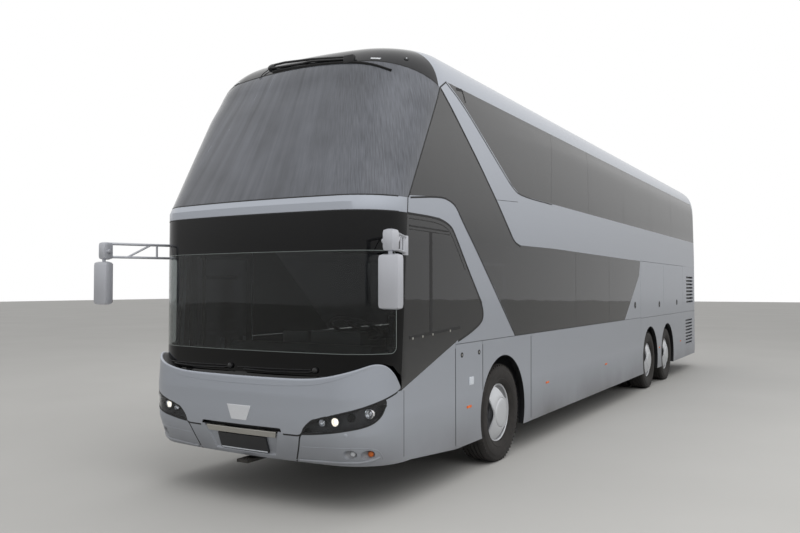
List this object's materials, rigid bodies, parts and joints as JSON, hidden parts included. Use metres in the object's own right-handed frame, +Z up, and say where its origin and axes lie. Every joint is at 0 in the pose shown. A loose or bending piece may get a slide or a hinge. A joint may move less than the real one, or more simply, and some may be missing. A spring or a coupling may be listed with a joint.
{
  "type": "double-deck coach",
  "caption": "Double-deck three-axle touring coach in silver grey with flush black glazing, two kerb-side doors and luggage flaps.",
  "frame": {"origin": "on the ground under the middle of the overall box", "axes": "+Z up, the front faces -Y, +X towards the driver's side"},
  "size_m": [3.31, 14.2378, 4.0599],
  "materials": {
    "body_paint": "satin",
    "gloss_black": "gloss",
    "glass": "gloss",
    "lamp": "gloss",
    "lamp_red": "gloss",
    "black_plastic": "matte",
    "frame_steel": "satin",
    "axle_steel": "matte",
    "cast_iron": "matte",
    "floor_panel": "matte",
    "trim_plastic": "matte",
    "seat_fabric": "matte",
    "tyre": "matte",
    "wheel_metal": "satin"
  },
  "bodies": {
    "body": {"chassis_frame": "frame_steel", "floor_lower": "floor_panel", "floor_upper": "floor_panel", "roof": "body_paint", "side_upper_left": "body_paint", "side_upper_right": "body_paint", "side_lower_left": "body_paint", "side_lower_right": "body_paint", "rear_wall": "body_paint", "rear_window": "glass", "front_panel": "body_paint", "front_bumper": "body_paint", "front_band": "body_paint", "windscreen_lower": "glass", "windscreen_upper": "glass", "front_dome": "gloss_black", "glass_left": "glass", "glass_right": "glass", "wipers": "black_plastic", "headlamps": "lamp", "tail_lamps": "lamp_red", "mirrors": "body_paint", "grilles": "black_plastic", "engine": "cast_iron", "front_axle": "axle_steel", "drive_axle": "axle_steel", "tag_axle": "axle_steel", "dashboard": "trim_plastic", "steering_wheel": "trim_plastic", "stairs": "floor_panel", "seats_lower": "seat_fabric", "seats_upper": "seat_fabric"},
    "knuckle_front_left_body": {"knuckle_front_left": "axle_steel"},
    "wheel_front_left": {"tyre_front_left": "tyre", "rim_front_left": "wheel_metal"},
    "knuckle_front_right_body": {"knuckle_front_right": "axle_steel"},
    "wheel_front_right": {"tyre_front_right": "tyre", "rim_front_right": "wheel_metal"},
    "wheel_drive_left": {"tyre_drive_left": "tyre", "rim_drive_left": "wheel_metal"},
    "wheel_drive_right": {"tyre_drive_right": "tyre", "rim_drive_right": "wheel_metal"},
    "knuckle_tag_left_body": {"knuckle_tag_left": "axle_steel"},
    "wheel_tag_left": {"tyre_tag_left": "tyre", "rim_tag_left": "wheel_metal"},
    "knuckle_tag_right_body": {"knuckle_tag_right": "axle_steel"},
    "wheel_tag_right": {"tyre_tag_right": "tyre", "rim_tag_right": "wheel_metal"},
    "front_door_crank": {"front_door_arm": "frame_steel"},
    "front_door_leaf": {"front_door": "body_paint"},
    "middle_door_crank": {"middle_door_arm": "frame_steel"},
    "middle_door_leaf": {"middle_door": "body_paint"},
    "flap_left_front_body": {"flap_left_front": "body_paint"},
    "flap_left_rear_body": {"flap_left_rear": "body_paint"},
    "flap_right_front_body": {"flap_right_front": "body_paint"},
    "flap_right_rear_body": {"flap_right_rear": "body_paint"},
    "service_flap_body": {"service_flap": "body_paint"},
    "engine_lid_body": {"engine_lid": "body_paint"}
  },
  "joints": [
    {"name": "steer_front_left", "type": "hinge", "parent": "body", "child": "knuckle_front_left_body", "pos_m": [0.89, -4.33, 0.505], "axis": [0, 0, 1], "range_deg": [-45, 45]},
    {"name": "spin_front_left", "type": "hinge", "parent": "knuckle_front_left_body", "child": "wheel_front_left", "pos_m": [1.1, -4.33, 0.505], "axis": [1, 0, 0], "continuous": true},
    {"name": "steer_front_right", "type": "hinge", "parent": "body", "child": "knuckle_front_right_body", "pos_m": [-0.89, -4.33, 0.505], "axis": [0, 0, 1], "range_deg": [-45, 45]},
    {"name": "spin_front_right", "type": "hinge", "parent": "knuckle_front_right_body", "child": "wheel_front_right", "pos_m": [-1.1, -4.33, 0.505], "axis": [1, 0, 0], "continuous": true},
    {"name": "spin_drive_left", "type": "hinge", "parent": "body", "child": "wheel_drive_left", "pos_m": [1.1, 2.38, 0.505], "axis": [1, 0, 0], "continuous": true},
    {"name": "spin_drive_right", "type": "hinge", "parent": "body", "child": "wheel_drive_right", "pos_m": [-1.1, 2.38, 0.505], "axis": [1, 0, 0], "continuous": true},
    {"name": "steer_tag_left", "type": "hinge", "parent": "body", "child": "knuckle_tag_left_body", "pos_m": [0.89, 3.85, 0.505], "axis": [0, 0, 1], "range_deg": [-14, 14]},
    {"name": "spin_tag_left", "type": "hinge", "parent": "knuckle_tag_left_body", "child": "wheel_tag_left", "pos_m": [1.1, 3.85, 0.505], "axis": [1, 0, 0], "continuous": true},
    {"name": "steer_tag_right", "type": "hinge", "parent": "body", "child": "knuckle_tag_right_body", "pos_m": [-0.89, 3.85, 0.505], "axis": [0, 0, 1], "range_deg": [-14, 14]},
    {"name": "spin_tag_right", "type": "hinge", "parent": "knuckle_tag_right_body", "child": "wheel_tag_right", "pos_m": [-1.1, 3.85, 0.505], "axis": [1, 0, 0], "continuous": true},
    {"name": "front_door_swing", "type": "hinge", "parent": "body", "child": "front_door_crank", "pos_m": [-1.11, -6.24, 1.2], "axis": [0, 0, 1], "range_deg": [0, 100]},
    {"name": "front_door_leaf_turn", "type": "hinge", "parent": "front_door_crank", "child": "front_door_leaf", "pos_m": [-1.11, -5.79, 1.2], "axis": [0, 0, 1], "range_deg": [-100, 0]},
    {"name": "middle_door_swing", "type": "hinge", "parent": "body", "child": "middle_door_crank", "pos_m": [-1.11, 0.72, 1.2], "axis": [0, 0, 1], "range_deg": [0, 100]},
    {"name": "middle_door_leaf_turn", "type": "hinge", "parent": "middle_door_crank", "child": "middle_door_leaf", "pos_m": [-1.11, 1.17, 1.2], "axis": [0, 0, 1], "range_deg": [-100, 0]},
    {"name": "flap_left_front_hinge", "type": "hinge", "parent": "body", "child": "flap_left_front_body", "pos_m": [1.275, 2.6, 2.26], "axis": [0, -1, 0], "range_deg": [0, 85]},
    {"name": "flap_left_rear_hinge", "type": "hinge", "parent": "body", "child": "flap_left_rear_body", "pos_m": [1.275, 4.495, 2.26], "axis": [0, -1, 0], "range_deg": [0, 85]},
    {"name": "flap_right_front_hinge", "type": "hinge", "parent": "body", "child": "flap_right_front_body", "pos_m": [-1.275, 2.6, 2.26], "axis": [0, 1, 0], "range_deg": [0, 85]},
    {"name": "flap_right_rear_hinge", "type": "hinge", "parent": "body", "child": "flap_right_rear_body", "pos_m": [-1.275, 4.495, 2.26], "axis": [0, 1, 0], "range_deg": [0, 85]},
    {"name": "service_flap_hinge", "type": "hinge", "parent": "body", "child": "service_flap_body", "pos_m": [1.275, -5.4475, 0.8], "axis": [0, 0, -1], "range_deg": [0, 100]},
    {"name": "engine_lid_hinge", "type": "hinge", "parent": "body", "child": "engine_lid_body", "pos_m": [0, 7.115, 2.18], "axis": [1, 0, 0], "range_deg": [0, 75]}
  ],
  "couplings": [
    {"joint": "steer_front_right", "follows": "steer_front_left", "ratio": 1},
    {"joint": "steer_tag_left", "follows": "steer_front_left", "ratio": -0.3},
    {"joint": "steer_tag_right", "follows": "steer_front_left", "ratio": -0.3},
    {"joint": "front_door_leaf_turn", "follows": "front_door_swing", "ratio": -1},
    {"joint": "middle_door_leaf_turn", "follows": "middle_door_swing", "ratio": -1}
  ]
}
